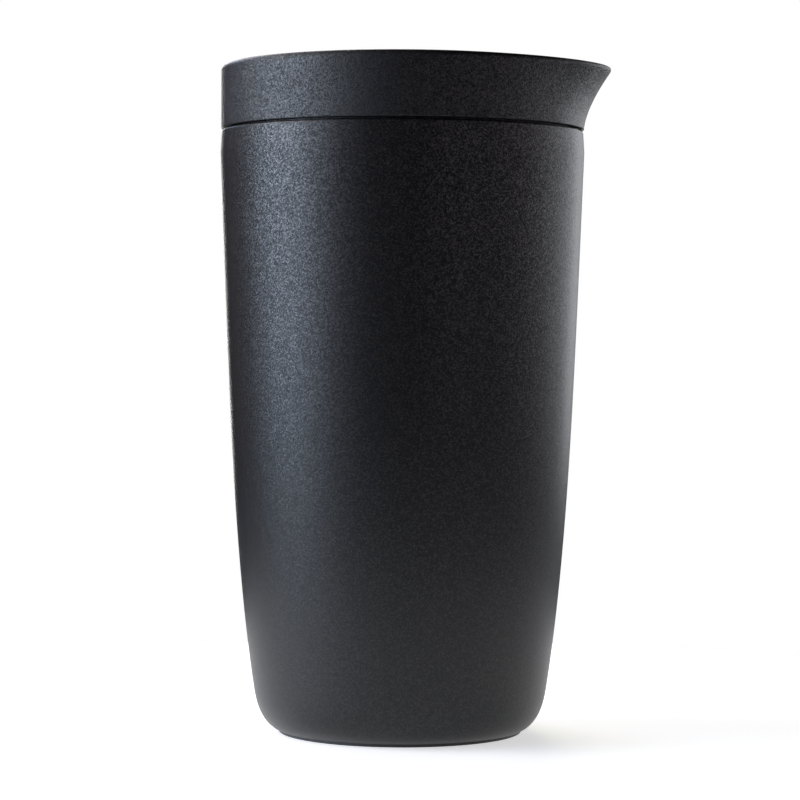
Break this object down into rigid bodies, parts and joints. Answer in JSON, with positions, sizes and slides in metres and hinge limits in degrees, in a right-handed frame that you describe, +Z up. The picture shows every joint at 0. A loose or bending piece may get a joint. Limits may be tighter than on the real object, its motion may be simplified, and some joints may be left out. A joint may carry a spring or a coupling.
{
  "type": "french press",
  "caption": "Handle-free insulated French press: tapered double-wall steel vessel, push-in lid with a pouring beak, and a plunger with a recessed knob and a mesh filter.",
  "frame": {"origin": "centre of the foot's flat underside, on the vessel's axis", "axes": "+Z up along the vessel's axis, +X towards the pouring beak"},
  "size_m": [0.103, 0.096, 0.1754],
  "materials": {
    "powder_black": "satin black powder coat with a fine orange-peel grain",
    "steel": "brushed stainless steel",
    "mesh": "fine woven stainless mesh",
    "getter_metal": "dull pressed metal",
    "solder_glass": "opaque sealing glass",
    "silicone": "matte black silicone",
    "black_moulding": "black moulding with a leather-like grain",
    "acetal": "white slippery plastic",
    "brass": "turned brass"
  },
  "bodies": {
    "vessel": {"outer_shell": "powder_black", "inner_liner": "steel", "base_cup": "steel", "vacuum_bead": "solder_glass", "getter": "getter_metal", "foot_pad": "silicone"},
    "seal": {"lid_gasket": "silicone"},
    "lid": {"lid_collar": "black_moulding", "lid_deck": "black_moulding", "lid_plug": "black_moulding", "pour_strainer": "steel", "bush_cap": "black_moulding"},
    "bush": {"rod_bush": "acetal", "rod_wiper": "silicone"},
    "plunger": {"knob_cap": "black_moulding", "knob_body": "black_moulding", "knob_insert": "brass", "rod": "steel", "rod_stop": "steel", "spring_plate": "steel", "edge_spring": "steel", "mesh_screen": "mesh", "cross_plate": "steel", "hub_nut": "steel"}
  },
  "joints": [
    {"name": "lid_lift", "type": "slide", "parent": "vessel", "child": "seal", "axis": [0, 0, 1], "range_m": [0, 0.145]},
    {"name": "lid_turn", "type": "hinge", "parent": "seal", "child": "lid", "pos_m": [0, 0, 0.1515], "axis": [0, 0, 1], "continuous": true},
    {"name": "plunger_turn", "type": "hinge", "parent": "lid", "child": "bush", "pos_m": [0, 0, 0.161], "axis": [0, 0, 1], "continuous": true},
    {"name": "plunger_slide", "type": "slide", "parent": "bush", "child": "plunger", "axis": [0, 0, 1], "range_m": [0, 0.1045]}
  ]
}
